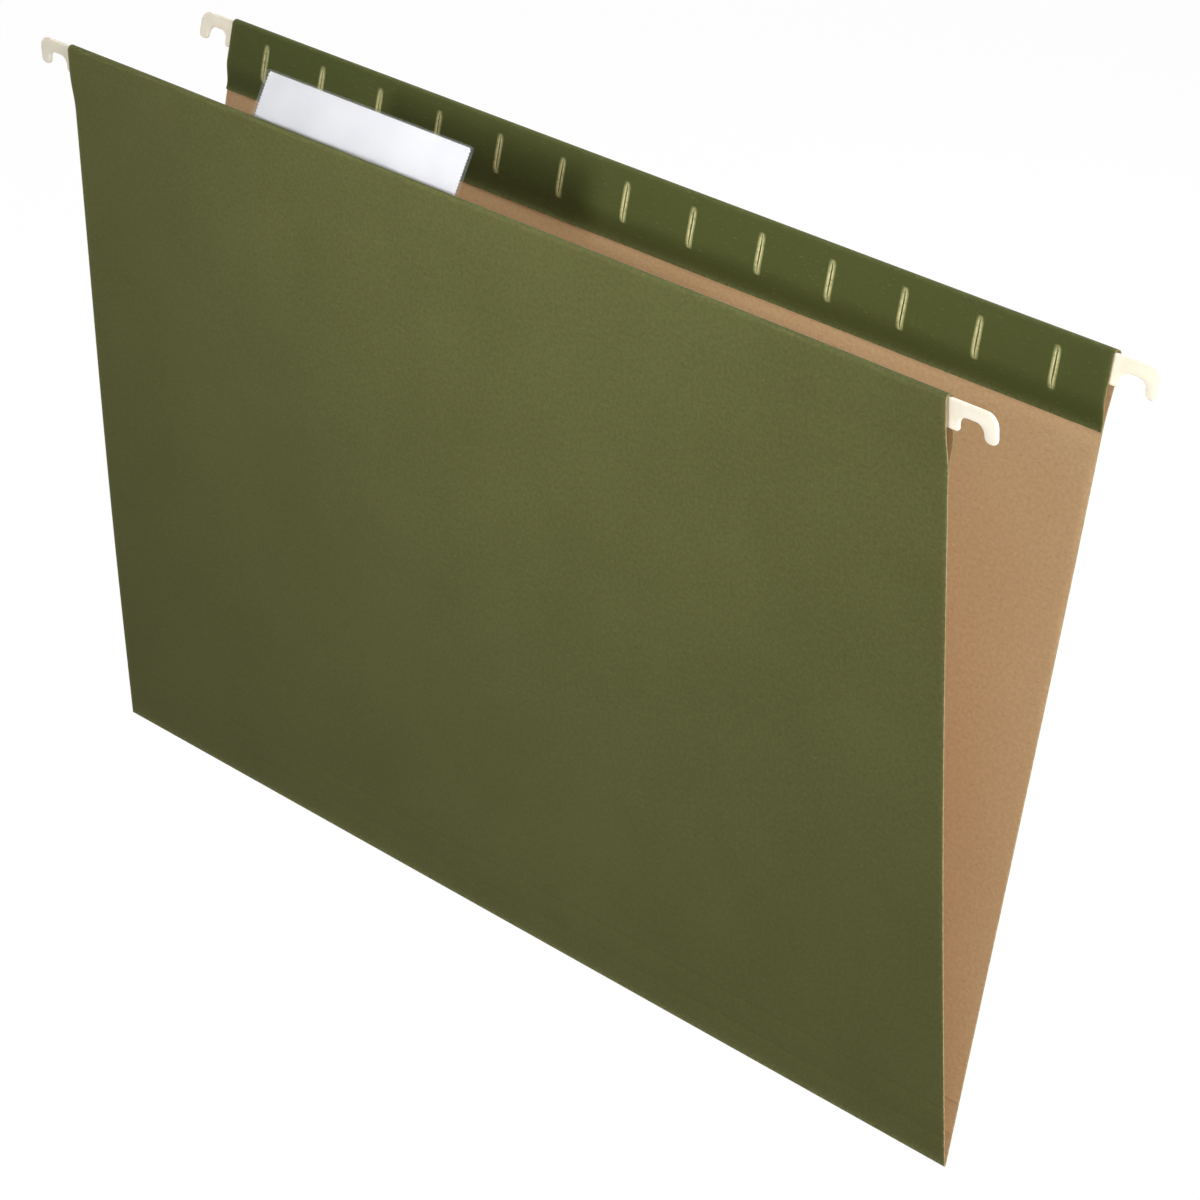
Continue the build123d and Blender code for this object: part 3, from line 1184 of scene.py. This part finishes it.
# %% Make the label flat
label_box_low, label_box_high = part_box("tab_insert")
label_width = label_box_high.x - label_box_low.x
label_low, label_high = 1.5 * MM, fold_centre
label_height = label_high - label_low
label_thickness, label_edge = 0.25 * MM, 0.05 * MM
label_round = 0.5 * MM
nib_count = 16
nib_length, nib_width, nib_thickness_share = 0.7 * MM, 0.55 * MM, 0.8

label_signs = ((-1, -1), (-1, 1), (1, 1), (1, -1))
label_corners = [(x * label_width / 2, y * label_height / 2, label_round) for x, y in label_signs]
label_outline = rounded_outline(label_corners, steps=4)
flat_label = add_object("flat_label", soft_plate("flat_label", label_outline, label_thickness, label_edge))
add_tree(flat_label, torn_ends, {
    "Nib Count": nib_count,
    "Nib Pitch": (label_height - 2 * label_round) / nib_count,
    "Nib Length": nib_length,
    "Nib Width": nib_width,
    "Thickness": nib_thickness_share * label_thickness,
    "Half Width": label_width / 2,
    "Paper": label_paper,
})
label_mesh = make_plain(flat_label)
bpy.data.objects.remove(flat_label)
print("label", round(label_width, 4), "by", round(label_height, 4), "m, with", 2 * nib_count, "nibs")

# %% Put the label into the pocket
label_back = plastic / 2 + pocket_gap / 2
label_middle = (label_low + label_high) / 2
move_points(label_mesh, [on_tab(x, label_back + z, label_middle + y) for x, y, z in points_of(label_mesh)])
paper_label = add_piece("paper_label", label_mesh, label_paper, smooth_degrees=40)
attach(paper_label, "label")
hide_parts("tab_insert")
print("the label lies", round(label_back / MM, 2), "mm behind the middle of the pocket's front wall")

# %% [markdown]
# ## Stage
# The folder hangs from its hooks, so the floor lies well below it and leaves room for the front half to
# swing right down. Stronger lamps could bleach the floor to white, but the folder would bleach too. To
# the camera, and in gloss and clear plastic, floor and sky are white by themselves, as a studio sweep
# is. A share of the floor's own shading stays, so that it keeps the shadow.

# %% Floor
floor_height = -(panel_height + 32 * MM)
floor_radius, floor_sides = 9.0, 96
floor_white_share, floor_glow = 0.88, 1.1
white = (1, 1, 1, 1)


def seen_directly(tree):
    """1 for rays from the eye, from mirrors and through glass, and 0 for rays that carry light."""
    path = add_node(tree, "ShaderNodeLightPath", {}).outputs
    seen = calc(tree, "MAXIMUM", path["Is Camera Ray"], path["Is Glossy Ray"])
    return calc(tree, "MAXIMUM", seen, path["Is Transmission Ray"])


def floor_finish():
    """A pale studio floor that looks nearly white and keeps the shadow."""
    material, tree, shader = new_finish("studio floor")
    fill(tree, shader, {"Base Color": paint(150, 150, 150), "Roughness": 0.9, "Specular IOR Level": 0.0})
    glow = add_node(tree, "ShaderNodeEmission", {"Color": white, "Strength": floor_glow})
    share = calc(tree, "MULTIPLY", seen_directly(tree), floor_white_share)
    blend = add_node(tree, "ShaderNodeMixShader", {0: share, 1: shader.outputs[0], 2: glow.outputs[0]})
    fill(tree, tree.nodes["Material Output"], {"Surface": blend.outputs[0]})
    return material


disc = bmesh.new()
bmesh.ops.create_circle(disc, cap_ends=True, segments=floor_sides, radius=floor_radius)
bmesh.ops.translate(disc, verts=disc.verts, vec=(0, 0, floor_height))
floor_mesh = bpy.data.meshes.new("floor")
disc.to_mesh(floor_mesh)
disc.free()
floor_mesh.materials.append(floor_finish())
floor = add_object("floor", floor_mesh)
print("floor at z", round(floor_height, 3))

# %% Sky
sky_strength = 0.4
world = bpy.data.worlds.new("studio sky")
bpy.context.scene.world = world
world.use_nodes = True
sky = world.node_tree
light_sky = sky.nodes["Background"]
fill(sky, light_sky, {"Color": paint(255, 252, 246), "Strength": sky_strength})
white_sky = add_node(sky, "ShaderNodeBackground", {"Color": white, "Strength": 1.0})
skies = {0: seen_directly(sky), 1: light_sky.outputs[0], 2: white_sky.outputs[0]}
fill(sky, sky.nodes["World Output"], {"Surface": add_node(sky, "ShaderNodeMixShader", skies).outputs[0]})
print("the sky lights with a strength of", sky_strength)

# %% [markdown]
# ## Lamps
# One bare bulb would throw hard shadows, and a sky alone would leave the card flat. So four soft square
# lamps join the sky. The front lamp has a narrow beam that fades down the panel, and it stands high
# enough to light the back hem over the front one. The side lamp reaches the kraft between the halves,
# and the other two keep the top and the back from going dull.

# %% Soft lamps
object_middle = Vector((0, 0, panel_height / 2))


def soft_lamp(name, place, size, watts, aim=object_middle, spread=180):
    """A square lamp turned to a point, with its beam narrowed by a grid where spread is small."""
    lamp = bpy.data.lights.new(name, "AREA")
    lamp.shape = "SQUARE"
    lamp.size = size
    lamp.energy = watts
    lamp.spread = math.radians(spread)
    facing = (Vector(aim) - Vector(place)).to_track_quat("-Z", "Y").to_matrix().to_4x4()
    add_object(name, lamp).matrix_world = Matrix.Translation(place) @ facing
    print(name, "of", watts, "W")


soft_lamp("front lamp", (0.1, -1.33, 0.68), size=0.3, watts=0.46, aim=(0.03, -0.033, 0.33), spread=27)
soft_lamp("side lamp", (1.75, -0.3, 0.35), size=0.8, watts=39)
soft_lamp("top lamp", (0, -0.25, 1.25), size=0.6, watts=2.4)
soft_lamp("back lamp", (-0.4, 1.5, 0.9), size=0.8, watts=18)

# %% [markdown]
# ## Camera
# The camera could be set by eye, but a fit is steadier: these numbers bring the six corners of the
# panels as near as they can come to their places in the photograph. The camera looks from the front
# right and down, and is turned a little about its own axis. Its lens is given in pixels, as a fit gives
# it, and turned into millimetres here.

# %% Camera
view_azimuth = math.radians(45.62)
view_elevation = math.radians(22.22)
view_roll = math.radians(-4.33)
view_distance = 1.2865
aim_right, aim_down = 0.0221, 0.0116
lens_pixels, frame_pixels = 4313, 1200
sensor_width = 36

forward = Vector((
    -math.sin(view_azimuth) * math.cos(view_elevation),
    math.cos(view_azimuth) * math.cos(view_elevation),
    -math.sin(view_elevation),
))
level = Vector((math.cos(view_azimuth), math.sin(view_azimuth), 0))
plumb = forward.cross(level)
right = math.cos(view_roll) * level + math.sin(view_roll) * plumb
down = math.cos(view_roll) * plumb - math.sin(view_roll) * level
eye = object_middle - forward * view_distance + right * aim_right + down * aim_down

camera_data = bpy.data.cameras.new("camera")
camera_data.sensor_width = sensor_width
camera_data.lens = sensor_width * lens_pixels / frame_pixels
camera = add_object("camera", camera_data)
camera.matrix_world = Matrix.Translation(eye) @ Matrix((right, -down, -forward)).transposed().to_4x4()
bpy.context.scene.camera = camera
bpy.context.scene.view_settings.view_transform = "Standard"
print("camera at", [round(value, 3) for value in eye], "lens", round(camera_data.lens, 1))
